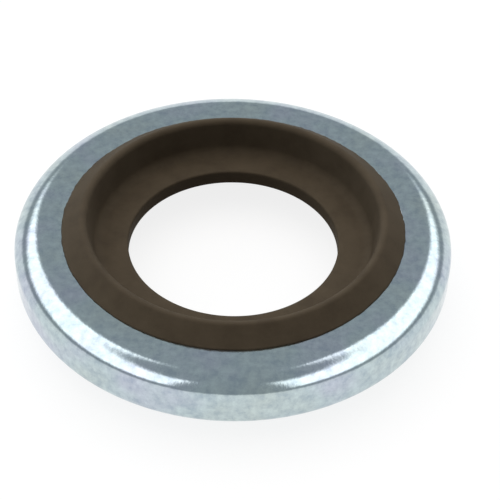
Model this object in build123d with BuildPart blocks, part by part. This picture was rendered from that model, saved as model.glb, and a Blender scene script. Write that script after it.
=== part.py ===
from build123d import *
import math
import os

# Bonded sealing washer, self-centring pattern: a plated steel ring with a rubber seal
# moulded into its bore and bonded to it. Both pieces are bodies of revolution about Z.
# The washer is the same on both sides: a raised sealing lip above and below, with a thin
# web between them. Millimetres. The origin is on the axis, in the plane that the lower
# lip rests on, +Z up.

# --- driving dimensions -------------------------------------------------------------------

# The radial sizes build outwards from the thread: web bore, crest circle, steel bore,
# outside. With the sizes given here the outside diameter comes to 24 mm.

# rubber seal: a sealing lip on each side, and a thin web that centres on the thread
WEB_BORE_D = 11.6           # bore of the web, a light grip on an M12 thread
WEB_THICKNESS = 0.88        # web at mid height
WEB_EDGE_RADIUS = 0.12      # rounded edges of the web's bore
CREST_SETBACK = 2.45        # radial distance from the web's bore to the crest of the lip
LIP_FLANK_WIDTH = 1.05      # radial distance from the crest to the steel
LIP_HEIGHT = 0.8            # how far the crest stands proud of the steel
LIP_CREST_RADIUS = 0.3      # rounding of the crest
LIP_SHOULDER = 38.0         # degrees, slope at which the flank leaves the crest
LIP_DRAFT = 12.0            # degrees, mould draft of the recess wall inside the lip
LIP_FOOT_RADIUS = 0.6       # hollow corner between the recess wall and the web

# steel ring, stamped and tumbled
RING_WALL = 2.7             # radial width of the steel
RING_THICKNESS = 3.2        # between the two flat faces
OUTER_ROLL_WIDTH = 1.35     # rolled outer corner, measured along the flat face
OUTER_ROLL_DEPTH = 0.95     # rolled outer corner, measured down the outer wall
INNER_ROLL_WIDTH = 0.6      # rolled edge of the bore, along the flat face
INNER_ROLL_DEPTH = 0.14     # rolled edge of the bore, down the bore wall

# --- places that follow -------------------------------------------------------------------

web_bore_r = WEB_BORE_D / 2
crest_r = web_bore_r + CREST_SETBACK
ring_bore_r = crest_r + LIP_FLANK_WIDTH
ring_outer_r = ring_bore_r + RING_WALL

web_half = WEB_THICKNESS / 2
ring_half = RING_THICKNESS / 2
mid_height = ring_half + LIP_HEIGHT

# Both sections are drawn in a plane through the axis whose origin is at the washer's mid
# height, so that the half above it can be mirrored to the half below.
section_plane = Plane(origin=(0, 0, mid_height), x_dir=(1, 0, 0), z_dir=(0, -1, 0))


# --- steel ring ---------------------------------------------------------------------------

bore_wall_half = ring_half - INNER_ROLL_DEPTH
outer_wall_half = ring_half - OUTER_ROLL_DEPTH
flat_inner_r = ring_bore_r + INNER_ROLL_WIDTH
flat_outer_r = ring_outer_r - OUTER_ROLL_WIDTH

with BuildPart() as steel_ring:
    with BuildSketch(section_plane):
        with BuildLine() as outline:
            EllipticalCenterArc(
                (flat_inner_r, bore_wall_half),
                INNER_ROLL_WIDTH,
                INNER_ROLL_DEPTH,
                start_angle=90,
                arc_size=90,
            )
            Line((flat_inner_r, ring_half), (flat_outer_r, ring_half))
            EllipticalCenterArc(
                (flat_outer_r, outer_wall_half),
                OUTER_ROLL_WIDTH,
                OUTER_ROLL_DEPTH,
                start_angle=0,
                arc_size=90,
            )
            mirror(outline.line, about=Plane.XZ)
            Line((ring_bore_r, -bore_wall_half), (ring_bore_r, bore_wall_half))
            Line((ring_outer_r, -outer_wall_half), (ring_outer_r, outer_wall_half))
        make_face()
    revolve(axis=Axis.Z)
steel_ring.part.label = "steel_ring"


# --- rubber seal --------------------------------------------------------------------------

# The toe of each lip starts at the rolled edge of the steel bore. The flank swells from
# there to the rounded crest, and the recess wall falls from the crest to the web.
crest_sweep = 90 + LIP_SHOULDER - LIP_DRAFT

with BuildPart() as rubber_seal:
    with BuildSketch(section_plane) as seal_section:
        with BuildLine() as outline:
            crest = CenterArc(
                (crest_r, ring_half + LIP_HEIGHT - LIP_CREST_RADIUS),
                LIP_CREST_RADIUS,
                start_angle=90 - LIP_SHOULDER,
                arc_size=crest_sweep,
            )
            lip_toe = (ring_bore_r, bore_wall_half)
            TangentArc(crest @ 0, lip_toe, tangent=(crest % 0) * -1)
            wall_drop = (crest @ 1).Y - web_half
            foot_r = (crest @ 1).X - wall_drop * math.tan(math.radians(LIP_DRAFT))
            Polyline(crest @ 1, (foot_r, web_half), (web_bore_r, web_half))
            mirror(outline.line, about=Plane.XZ)
            Line((web_bore_r, -web_half), (web_bore_r, web_half))
            Line((ring_bore_r, -bore_wall_half), (ring_bore_r, bore_wall_half))
        make_face()
        web_corners = seal_section.vertices().filter_by_position(Axis.Y, -web_half, web_half)
        fillet(web_corners.sort_by(Axis.X)[-2:], LIP_FOOT_RADIUS)
        web_corners = seal_section.vertices().filter_by_position(Axis.Y, -web_half, web_half)
        fillet(web_corners.sort_by(Axis.X)[:2], WEB_EDGE_RADIUS)
    revolve(axis=Axis.Z)
rubber_seal.part.label = "rubber_seal"


# --- one STEP file per piece --------------------------------------------------------------

os.makedirs("parts", exist_ok=True)
for piece in (steel_ring.part, rubber_seal.part):
    export_step(piece, f"parts/{piece.label}.step")
    print(f"{piece.label}: {piece.volume:.2f} mm3, {piece.bounding_box().size}")
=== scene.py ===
# %% [markdown]
# # A bonded sealing washer
#
# The washer is two things joined for life: a zinc plated steel ring, and a brown rubber
# seal moulded into its bore. Both are round, so both are turned from a half section, much
# as a lathe would turn them. This first cell loads the measured solids that everything
# else has to agree with, and keeps the box they fill.

# %% Load the frame
import math
import bmesh
import bpy
from mathutils import Matrix, Vector, noise


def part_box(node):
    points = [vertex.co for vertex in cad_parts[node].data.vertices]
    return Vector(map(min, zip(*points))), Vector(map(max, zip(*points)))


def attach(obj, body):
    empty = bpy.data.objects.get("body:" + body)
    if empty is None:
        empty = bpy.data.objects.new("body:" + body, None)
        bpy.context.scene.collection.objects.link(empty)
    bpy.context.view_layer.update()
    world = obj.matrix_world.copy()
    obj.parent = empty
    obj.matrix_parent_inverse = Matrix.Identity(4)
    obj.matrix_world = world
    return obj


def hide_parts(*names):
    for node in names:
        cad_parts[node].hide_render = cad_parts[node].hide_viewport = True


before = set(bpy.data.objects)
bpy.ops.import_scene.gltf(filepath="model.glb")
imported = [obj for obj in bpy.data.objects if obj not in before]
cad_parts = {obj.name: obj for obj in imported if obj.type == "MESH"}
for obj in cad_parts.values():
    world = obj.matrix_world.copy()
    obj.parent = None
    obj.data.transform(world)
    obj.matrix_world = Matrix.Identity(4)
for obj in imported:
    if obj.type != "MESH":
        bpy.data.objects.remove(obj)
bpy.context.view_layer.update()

MM = 0.001

ring_low, ring_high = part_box("steel_ring")
seal_low, seal_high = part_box("rubber_seal")
print("steel ring", [round(v / MM, 3) for v in (*ring_low, *ring_high)])
print("rubber seal", [round(v / MM, 3) for v in (*seal_low, *seal_high)])

# %% [markdown]
# ## The sizes
#
# The frame gives the diameters and heights. The rest are the small shapes that a box can't
# tell: how far the tumbled corners roll, how the lip swells, how thick the web is. Lengths
# are in metres, like everything in the scene, and angles are in degrees. The rim of the
# steel and the crest of the lip are placed from the bore of the steel.

# %% Sizes of the two sections
mid_height = (ring_low[2] + ring_high[2]) / 2
ring_outer = ring_high[0]
ring_bore = seal_high[0]
ring_half = (ring_high[2] - ring_low[2]) / 2
crest_height = seal_high[2] - mid_height

outer_roll = Vector((1.35 * MM, 0, 0.95 * MM))
rim_edge = Vector((0.10 * MM, 0, 0.07 * MM))
rim_lean_width = 0.67 * MM
rim_lean_slope = 7.5
rim_flat = ring_bore + rim_lean_width
rim_lean = math.tan(math.radians(rim_lean_slope)) / (rim_lean_width - rim_edge.x)

flank_width = 1.05 * MM
crest_round = 0.3 * MM
shoulder = 38.0
draft = 12.0
foot_round = 0.6 * MM
web_half = 0.44 * MM
web_bore = 5.8 * MM
web_edge = 0.12 * MM
crest_radius = ring_bore - flank_width
print("crest circle", round(crest_radius * 2 / MM, 2), "mm across")
print("lips stand", round((crest_height - ring_half) / MM, 2), "mm proud")


def rim_height(radius):
    """Height of the steel's upper face over the middle plane, near its tumbled bore."""
    height = ring_half - rim_lean * max(rim_flat - radius, 0) ** 2 / 2
    short = min(max(1 - (radius - ring_bore) / rim_edge.x, 0), 1)
    return height - rim_edge.z * (1 - math.sqrt(1 - short ** 2))


# %% [markdown]
# ## Drawing a section
#
# A turned part could be made from a cylinder with loops cut into it, but then each rounded
# corner has to be found again and bevelled. Here the half section is drawn first, in the XZ
# plane, as arcs joined by straight runs. An arc is one vertex spun about the arc's centre,
# and a rolled edge that is wider than it is deep is the same arc, stretched.

# %% Helpers that draw arcs and runs
def arc(bm, centre, radii, first, last, steps):
    """Vertices of an arc in the XZ plane. Angles in degrees, from +X towards +Z."""
    count = len(bm.verts)
    begin = math.radians(first)
    start = bm.verts.new((math.cos(begin), 0, math.sin(begin)))
    bmesh.ops.spin(
        bm, geom=[start], cent=(0, 0, 0), axis=(0, -1, 0), dvec=(0, 0, 0),
        angle=math.radians(last - first), steps=steps, use_merge=False, use_duplicate=False,
    )
    bm.verts.ensure_lookup_table()
    made = bm.verts[count:]
    bmesh.ops.scale(bm, vec=(radii[0], 1, radii[1]), verts=made)
    bmesh.ops.translate(bm, vec=centre, verts=made)
    return made[0], made[-1]


def run(bm, begin, end, parts):
    """A straight run between two vertices, in equal parts so that the turned faces stay even."""
    last = begin
    for number in range(1, parts):
        between = bm.verts.new(begin.co.lerp(end.co, number / parts))
        bm.edges.new((last, between))
        last = between
    bm.edges.new((last, end))


def chain(bm, verts):
    """Edges that join the given vertices one after another."""
    for one, other in zip(verts, verts[1:]):
        bm.edges.new((one, other))


def point(bm, radius, height):
    """A vertex at a radius and a height over the washer's middle plane."""
    return bm.verts.new((radius, 0, height))


# %% [markdown]
# ## Turning it
#
# One full spin of the section. Arcs and runs that meet leave doubled vertices, and so does
# the spin on its way round, so doubles are merged before it and after it. The spin may also
# turn the faces inwards, so the normals are worked out again at the end.

# %% Helpers that turn a section into a closed body
TURN_STEPS = 540
MERGE = 0.0005 * MM


def turn(bm, name):
    """Mirror the half section downwards, spin it about the axis and lift it to its height."""
    bmesh.ops.mirror(
        bm, geom=bm.verts[:] + bm.edges[:], matrix=Matrix.Identity(4), merge_dist=MERGE, axis="Z",
    )
    bmesh.ops.remove_doubles(bm, verts=bm.verts[:], dist=MERGE)
    bmesh.ops.spin(
        bm, geom=bm.verts[:] + bm.edges[:], cent=(0, 0, 0), axis=(0, 0, 1), dvec=(0, 0, 0),
        angle=math.tau, steps=TURN_STEPS, use_merge=True, use_duplicate=False,
    )
    bmesh.ops.remove_doubles(bm, verts=bm.verts[:], dist=MERGE)
    bmesh.ops.translate(bm, vec=(0, 0, mid_height), verts=bm.verts[:])
    bmesh.ops.recalc_face_normals(bm, faces=bm.faces[:])
    for face in bm.faces:
        face.smooth = True
    open_edges = sum(1 for edge in bm.edges if len(edge.link_faces) != 2)
    print(name, "faces", len(bm.faces), "open edges", open_edges)


def finish_piece(bm, name, material, node):
    """Write the mesh, give it its material, hang it under the root body and hide the measured part it
    stands for.
    """
    mesh = bpy.data.meshes.new(name)
    bm.to_mesh(mesh)
    bm.free()
    mesh.materials.append(material)
    piece = bpy.data.objects.new(name, mesh)
    bpy.context.scene.collection.objects.link(piece)
    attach(piece, "root")
    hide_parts(node)


# %% [markdown]
# ## Nodes without clutter
#
# Each finish below is a small graph of nodes. This helper adds one node, sets its inputs and
# links what is given as a socket, so that a graph reads top to bottom like a recipe.

# %% Helper that adds a node
def add(tree, kind, inputs=None, **settings):
    """Add a node; inputs maps a socket's name or number to a value or to another socket."""
    node = tree.nodes.new(kind)
    for name, value in settings.items():
        setattr(node, name, value)
    for name, value in (inputs or {}).items():
        if isinstance(value, bpy.types.NodeSocket):
            tree.links.new(value, node.inputs[name])
        else:
            node.inputs[name].default_value = value
    return node


def new_material(name):
    """A material with an empty graph, and its output node."""
    material = bpy.data.materials.new(name)
    material.use_nodes = True
    material.node_tree.nodes.clear()
    return material, material.node_tree, material.node_tree.nodes.new("ShaderNodeOutputMaterial")


def ramp(tree, factor, stops):
    """A colour ramp with the given (place, colour) stops."""
    node = tree.nodes.new("ShaderNodeValToRGB")
    tree.links.new(factor, node.inputs["Fac"])
    elements = node.color_ramp.elements
    while len(elements) < len(stops):
        elements.new(0.5)
    for element, (place, colour) in zip(elements, stops):
        element.position = place
        element.color = (*colour, 1)
    return node.outputs["Color"]


def cloud(tree, place, scale, detail, roughness):
    """A noise pattern; scale is in cycles to the metre."""
    return add(tree, "ShaderNodeTexNoise", {
        "Vector": place, "Scale": scale, "Detail": detail, "Roughness": roughness,
    }).outputs["Fac"]


# %% [markdown]
# ## Zinc plate
#
# Bright zinc with a clear passivate is a metal with a cold, slightly blue-green cast. It
# mirrors the room, so its roughness is low, and what softens the picture in it is its shape:
# a fine grain left by the plating bath, about a tenth of a millimetre across, and a slower
# waviness from tumbling. Both are bump here, because they are only microns deep. The
# passivate film also shifts the tint a little from place to place.

# %% Zinc plate material
GRAIN_SCALE = 7500
GRAIN_DEPTH = 0.0024 * MM
WAVE_SCALE = 1200
WAVE_DEPTH = 0.009 * MM
TINT_SCALE = 300
DUST_SCALE = 2000
ZINC_DULLEST = 0.13
ZINC_BRIGHTEST = 0.07


def zinc_plate():
    material, tree, output = new_material("zinc_plate")
    place = add(tree, "ShaderNodeTexCoord").outputs["Object"]

    grain = cloud(tree, place, GRAIN_SCALE, 2, 0.5)
    peel = cloud(tree, place, WAVE_SCALE, 2, 0.5)
    film = cloud(tree, place, TINT_SCALE, 2, 0.5)
    dust = cloud(tree, place, DUST_SCALE, 4, 0.65)

    shade = ramp(tree, film, [
        (0.30, (0.49, 0.54, 0.62)),
        (0.50, (0.48, 0.57, 0.60)),
        (0.70, (0.50, 0.58, 0.58)),
    ])
    spots = ramp(tree, dust, [
        (0.34, (0.82, 0.84, 0.88)),
        (0.50, (1.00, 1.00, 1.00)),
        (0.66, (1.14, 1.14, 1.12)),
    ])
    tint = add(tree, "ShaderNodeMix", {
        "Factor": 1.0, "A": shade, "B": spots,
    }, data_type="RGBA", blend_type="MULTIPLY")
    dull = add(tree, "ShaderNodeMapRange", {
        "Value": dust, "From Min": 0.35, "From Max": 0.65,
        "To Min": ZINC_DULLEST, "To Max": ZINC_BRIGHTEST,
    })
    wave = add(tree, "ShaderNodeBump", {"Strength": 1.0, "Distance": WAVE_DEPTH, "Height": peel})
    sparkle = add(tree, "ShaderNodeBump", {
        "Strength": 1.0, "Distance": GRAIN_DEPTH, "Height": grain, "Normal": wave.outputs["Normal"],
    })
    metal = add(tree, "ShaderNodeBsdfPrincipled", {
        "Base Color": tint.outputs["Result"], "Metallic": 1.0, "Roughness": dull.outputs["Result"],
        "Normal": sparkle.outputs["Normal"],
    })
    tree.links.new(metal.outputs["BSDF"], output.inputs["Surface"])
    return material


zinc = zinc_plate()
print("zinc plate nodes", len(zinc.node_tree.nodes))

# %% [markdown]
# ## Moulded rubber
#
# The seal is a dark brown rubber with a matt skin, because the mould is blasted so that the
# part lets go of it. A broad soft sheen, no clear reflection, and a faint mottle are enough.
# The bump is a very fine pebble, far smaller than the rounding of the lip.

# %% Seal rubber material
MOTTLE_SCALE = 700
PEBBLE_SCALE = 6500
PEBBLE_DEPTH = 0.006 * MM
PEBBLE_STRENGTH = 0.6
RUBBER_SHEEN = 0.12


def seal_rubber():
    material, tree, output = new_material("seal_rubber")
    place = add(tree, "ShaderNodeTexCoord").outputs["Object"]

    mottle = cloud(tree, place, MOTTLE_SCALE, 4, 0.6)
    pebble = cloud(tree, place, PEBBLE_SCALE, 2, 0.6)
    brown = ramp(tree, mottle, [
        (0.35, (0.073, 0.054, 0.034)),
        (0.50, (0.084, 0.063, 0.040)),
        (0.68, (0.094, 0.071, 0.046)),
    ])
    skin = add(tree, "ShaderNodeBump", {
        "Strength": PEBBLE_STRENGTH, "Distance": PEBBLE_DEPTH, "Height": pebble,
    })
    dull = add(tree, "ShaderNodeMapRange", {
        "Value": mottle, "From Min": 0.3, "From Max": 0.7, "To Min": 0.70, "To Max": 0.82,
    })
    rubber = add(tree, "ShaderNodeBsdfPrincipled", {
        "Base Color": brown, "Roughness": dull.outputs["Result"], "Normal": skin.outputs["Normal"],
        "Specular IOR Level": RUBBER_SHEEN,
    })
    tree.links.new(rubber.outputs["BSDF"], output.inputs["Surface"])
    return material


rubber = seal_rubber()
print("seal rubber nodes", len(rubber.node_tree.nodes))

# %% [markdown]
# ## The steel ring
#
# The blank is stamped from strip and tumbled until its corners roll over, so its section is a
# thick rectangle with wide soft outer corners and a much smaller roll at the bore. The face
# leans down a little on its way to that small roll.

# %% Turn the steel ring
CROWN_END = ring_outer - outer_roll.x
CROWN_START = CROWN_END - 0.5 * MM
CROWN_SLOPE = 0.035
CROWN_FADE = 0.3 * ring_half
EDGE_SHARES = (0, 0.03, 0.12, 0.28, 0.5, 0.75)
LEAN_STEPS = 8
ROLL_STEPS = 18
BORE_PARTS = 3
FLAT_PARTS = 7
OUTER_WALL_PARTS = 4


def crown(verts):
    """Ease the flat into the roll: the slope grows from none to two degrees, then stays."""
    for vert in verts:
        eased = min(vert.co.x, CROWN_END) - CROWN_START
        if eased > 0 and vert.co.z > 0:
            past = max(vert.co.x - CROWN_END, 0)
            share = min(vert.co.z / CROWN_FADE, 1)
            drop = CROWN_SLOPE * (eased ** 2 / (2 * (CROWN_END - CROWN_START)) + past)
            vert.co.z -= drop * share


def steel_ring():
    bm = bmesh.new()
    flat_out = ring_outer - outer_roll.x
    wall_top = ring_half - outer_roll.z

    bore_foot = point(bm, ring_bore, 0)
    edge_end = ring_bore + rim_edge.x
    edge = [ring_bore + rim_edge.x * share for share in EDGE_SHARES]
    lean = [edge_end + step / LEAN_STEPS * (rim_flat - edge_end) for step in range(LEAN_STEPS + 1)]
    rim = [point(bm, radius, rim_height(radius)) for radius in edge + lean]
    chain(bm, rim)
    run(bm, bore_foot, rim[0], BORE_PARTS)
    top, side = arc(bm, (flat_out, 0, wall_top), (outer_roll.x, outer_roll.z), 90, 0, ROLL_STEPS)
    run(bm, rim[-1], top, FLAT_PARTS)
    run(bm, side, point(bm, ring_outer, 0), OUTER_WALL_PARTS)
    crown(bm.verts)
    turn(bm, "steel ring")
    return bm


finish_piece(steel_ring(), "zinc_ring", zinc, "steel_ring")

# %% [markdown]
# ## The rubber seal
#
# From the steel the lip's flank swells to a rounded crest. Inside the crest a drafted wall
# drops to the thin web that centres the washer on its thread. The flank is the arc that
# leaves the crest's rounding without a kink and lands just past the edge of the steel. There
# the moulding leaves a thin film that climbs the rolled edge of the bore, and its rim is
# ragged, because it ends wherever the mould happened to seal against the steel.

# %% Turn the rubber seal
FILM_REACH = 0.10 * MM
FILM_RAGGED = 0.035 * MM
FILM_THICK = 0.008 * MM
SLOW_WANDER = 900
QUICK_WANDER = 4200
LIP_STEPS = 14
FOOT_STEPS = 10
WEB_EDGE_STEPS = 5
BOND_PARTS = 3
RECESS_PARTS = 6
WEB_PARTS = 5
WEB_WALL_PARTS = 2


def lip(bm):
    """The upper half of the seal's section, from the steel to the web's bore."""
    crest_centre = Vector((crest_radius, 0, crest_height - crest_round))

    away = 90 - shoulder
    out = Vector((math.cos(math.radians(away)), 0, math.sin(math.radians(away))))
    leave = crest_centre + out * crest_round
    film_end = ring_bore + FILM_REACH
    toe = Vector((film_end, 0, rim_height(film_end) + FILM_THICK))
    chord = leave - toe
    flank_round = chord.length_squared / (2 * chord.dot(out))
    flank_centre = leave - out * flank_round
    land = toe - flank_centre
    landing = math.degrees(math.atan2(land.z, land.x))

    slope = math.radians(draft)
    wall_top = crest_centre + Vector((-math.cos(slope), 0, math.sin(slope))) * crest_round
    foot_reach = foot_round * math.tan((math.pi / 2 - slope) / 2)
    foot_x = wall_top.x - (wall_top.z - web_half) * math.tan(slope)
    foot_centre = Vector((foot_x - foot_reach, 0, web_half + foot_round))

    steel_side = point(bm, ring_bore, 0)
    under_film = point(bm, ring_bore, rim_height(ring_bore) - 2 * FILM_THICK)
    film_tip, _ = arc(bm, flank_centre, (flank_round, flank_round), landing, away, LIP_STEPS)
    run(bm, steel_side, under_film, BOND_PARTS)
    run(bm, under_film, film_tip, 1)
    _, wall_start = arc(bm, crest_centre, (crest_round, crest_round), away, 180 - draft, LIP_STEPS)
    wall_end, web_start = arc(bm, foot_centre, (foot_round, foot_round), -draft, -90, FOOT_STEPS)
    run(bm, wall_start, wall_end, RECESS_PARTS)
    edge_centre = Vector((web_bore + web_edge, 0, web_half - web_edge))
    web_end, bore_start = arc(bm, edge_centre, (web_edge, web_edge), 90, 180, WEB_EDGE_STEPS)
    run(bm, web_start, web_end, WEB_PARTS)
    run(bm, bore_start, point(bm, web_bore, 0), WEB_WALL_PARTS)


def ragged_film(bm):
    """Let the rim of the film wander in and out over the rolled edge of the steel."""
    for vert in bm.verts:
        radius = math.hypot(vert.co.x, vert.co.y)
        if radius < ring_bore + FILM_REACH / 2:
            continue
        side = 1 if vert.co.z > mid_height else -1
        slow = noise.noise(vert.co * SLOW_WANDER)
        quick = noise.noise(vert.co * QUICK_WANDER)
        reach = radius + FILM_RAGGED * (0.8 * slow + 0.9 * quick)
        height = mid_height + side * (rim_height(reach) + FILM_THICK)
        vert.co = (vert.co.x * reach / radius, vert.co.y * reach / radius, height)


def rubber_seal():
    bm = bmesh.new()
    lip(bm)
    turn(bm, "rubber seal")
    ragged_film(bm)
    return bm


finish_piece(rubber_seal(), "moulded_seal", rubber, "rubber_seal")

# %% [markdown]
# ## Floor
#
# A plain white table top, large enough to fill every view. Part of its white is matt and
# takes the washer's shadow. The rest is added where a ray comes from the camera or from the
# metal, so the metal shows the same white table that the camera sees.

# %% Floor
FLOOR_HALF = 3.0
FLOOR_MATT = 0.22
FLOOR_ADDED = 0.84


def seen_rays(tree):
    """1 for rays that look at something: from the camera, a mirroring surface or glass."""
    path = tree.nodes.new("ShaderNodeLightPath")
    looking = add(tree, "ShaderNodeMath", {
        0: path.outputs["Is Camera Ray"], 1: path.outputs["Is Glossy Ray"],
    }, operation="MAXIMUM")
    return add(tree, "ShaderNodeMath", {
        0: looking.outputs[0], 1: path.outputs["Is Transmission Ray"],
    }, operation="MAXIMUM").outputs[0]


def table_white():
    material, tree, output = new_material("table_white")
    added = add(tree, "ShaderNodeMath", {0: seen_rays(tree), 1: FLOOR_ADDED}, operation="MULTIPLY")
    matt = add(tree, "ShaderNodeBsdfDiffuse", {"Color": (FLOOR_MATT, FLOOR_MATT, FLOOR_MATT, 1)})
    white = add(tree, "ShaderNodeEmission", {"Color": (1, 1, 1, 1), "Strength": added.outputs[0]})
    both = add(tree, "ShaderNodeAddShader", {0: matt.outputs[0], 1: white.outputs[0]})
    tree.links.new(both.outputs[0], output.inputs["Surface"])
    return material


def floor():
    bm = bmesh.new()
    bmesh.ops.create_grid(bm, x_segments=1, y_segments=1, size=FLOOR_HALF)
    mesh = bpy.data.meshes.new("floor")
    bm.to_mesh(mesh)
    bm.free()
    mesh.materials.append(table_white())
    sheet = bpy.data.objects.new("floor", mesh)
    bpy.context.scene.collection.objects.link(sheet)


floor()

# %% [markdown]
# ## Studio light
#
# Bright metal shows its room, so the world is a small photographer's studio: a white backdrop
# that stands on the table all round, a grey ceiling, and two large soft sheets of light, one
# on each side. A sheet is a range of bearings and a range of heights with soft edges, in
# degrees, and it is the same on the left and on the right. Matt surfaces only need a plain
# soft light, so what they see is a smooth dome of about strength 1, brighter overhead,
# behind and a little to the left.

# %% Studio
SHEET_LEVEL = 1.9
CEILING = (0.40, 0.43, 0.45)
BACKDROP_TOP = 15
SOFT_EDGE = 10
SHEET_BEARINGS = (30, 160)
SHEET_HEIGHTS = (30, 65)
DOME_LEVEL = 0.40
DOME_LEAST = 0.03
DOME_TOWARDS = Vector((-0.35, 1.0, 0.45))
DOME_OVERHEAD = 0.30
COOL = (0.85, 1.0, 1.15)
WARM = (1.03, 1.0, 0.97)


def studio():
    world = bpy.data.worlds.new("studio")
    bpy.context.scene.world = world
    world.use_nodes = True
    tree = world.node_tree
    tree.nodes.clear()
    output = tree.nodes.new("ShaderNodeOutputWorld")
    towards = add(tree, "ShaderNodeTexCoord").outputs["Generated"]
    split = add(tree, "ShaderNodeSeparateXYZ", {"Vector": towards})
    x, y, z = (split.outputs[axis] for axis in "XYZ")

    def maths(operation, *values):
        return add(tree, "ShaderNodeMath", dict(enumerate(values)), operation=operation).outputs[0]

    def step(value, low, high):
        return add(tree, "ShaderNodeMapRange", {
            "Value": value, "From Min": low, "From Max": high,
        }, interpolation_type="SMOOTHSTEP").outputs["Result"]

    height = maths("DEGREES", maths("ARCSINE", z))
    bearing = maths("DEGREES", maths("ARCTAN2", x, maths("MULTIPLY", y, -1.0)))

    def within(value, limits):
        low, high = limits
        half = SOFT_EDGE / 2
        return maths("MULTIPLY", step(value, low - half, low + half), step(value, high + half, high - half))

    to_either_side = maths("ABSOLUTE", bearing)
    sheets = maths("MULTIPLY", within(to_either_side, SHEET_BEARINGS), within(height, SHEET_HEIGHTS))
    backdrop = step(height, BACKDROP_TOP + SOFT_EDGE / 2, BACKDROP_TOP - SOFT_EDGE / 2)

    overhead = maths("MULTIPLY", maths("MULTIPLY", z, z), DOME_OVERHEAD)
    lean = add(tree, "ShaderNodeVectorMath", {0: towards, 1: DOME_TOWARDS}, operation="DOT_PRODUCT")
    dome = maths("ADD", maths("ADD", lean.outputs["Value"], overhead), DOME_LEVEL)

    colour = add(tree, "ShaderNodeMix", {
        "Factor": step(z, 0, 1), "A": (*COOL, 1), "B": (*WARM, 1),
    }, data_type="RGBA")
    matt_light = add(tree, "ShaderNodeBackground", {
        "Color": colour.outputs["Result"], "Strength": maths("MAXIMUM", dome, DOME_LEAST),
    })
    ceiling = add(tree, "ShaderNodeBackground", {"Color": (*CEILING, 1), "Strength": 1.0})
    lit_sheet = add(tree, "ShaderNodeBackground", {"Color": (1, 1, 1, 1), "Strength": SHEET_LEVEL})
    white = add(tree, "ShaderNodeBackground", {"Color": (1, 1, 1, 1), "Strength": 1.0})
    room = add(tree, "ShaderNodeMixShader", {0: backdrop, 1: ceiling.outputs[0], 2: white.outputs[0]})
    room = add(tree, "ShaderNodeMixShader", {0: sheets, 1: room.outputs[0], 2: lit_sheet.outputs[0]})
    everything = add(tree, "ShaderNodeMixShader", {
        0: seen_rays(tree), 1: matt_light.outputs[0], 2: room.outputs[0],
    })
    tree.links.new(everything.outputs[0], output.inputs["Surface"])


studio()

# %% [markdown]
# ## Camera
#
# The camera looks down on the washer at about 42 degrees from close by with a long lens, and
# is rolled by a degree. It is aimed a little past the washer's centre, so no lens shift is
# needed. Distances are from the middle of the ring's top face.

# %% Camera
FRAME_WIDTH = 500
SENSOR = 36.0
CAMERA_HEIGHT_DEG = 42.35
CAMERA_DISTANCE = 86.5 * MM
CAMERA_ROLL_DEG = 0.94
FOCAL_PIXELS = 1579
CENTRE_PIXEL = Vector((233.6, 224.5))
CLIP_NEAR = 0.005
CLIP_FAR = 20


def camera():
    height = math.radians(CAMERA_HEIGHT_DEG)
    target = Vector((0, 0, ring_high[2]))
    back = Vector((0, -math.cos(height), math.sin(height)))
    position = target + back * CAMERA_DISTANCE
    roll = Matrix.Rotation(math.radians(CAMERA_ROLL_DEG), 3, back)
    right = roll @ Vector((1, 0, 0))
    up = roll @ back.cross(Vector((1, 0, 0)))
    aside = CENTRE_PIXEL - Vector((FRAME_WIDTH / 2, FRAME_WIDTH / 2))
    back = (back * FOCAL_PIXELS + right * aside.x - up * aside.y).normalized()
    right = up.cross(back).normalized()
    up = back.cross(right)
    lens = bpy.data.cameras.new("camera")
    lens.sensor_width = SENSOR
    lens.lens = FOCAL_PIXELS * SENSOR / FRAME_WIDTH
    lens.clip_start = CLIP_NEAR
    lens.clip_end = CLIP_FAR
    eye = bpy.data.objects.new("camera", lens)
    eye.matrix_world = Matrix.Translation(position) @ Matrix((right, up, back)).transposed().to_4x4()
    bpy.context.scene.collection.objects.link(eye)
    bpy.context.scene.camera = eye
    print("lens", round(lens.lens, 1), "mm")


camera()

# %% Finish
bpy.context.scene.view_settings.view_transform = "Standard"
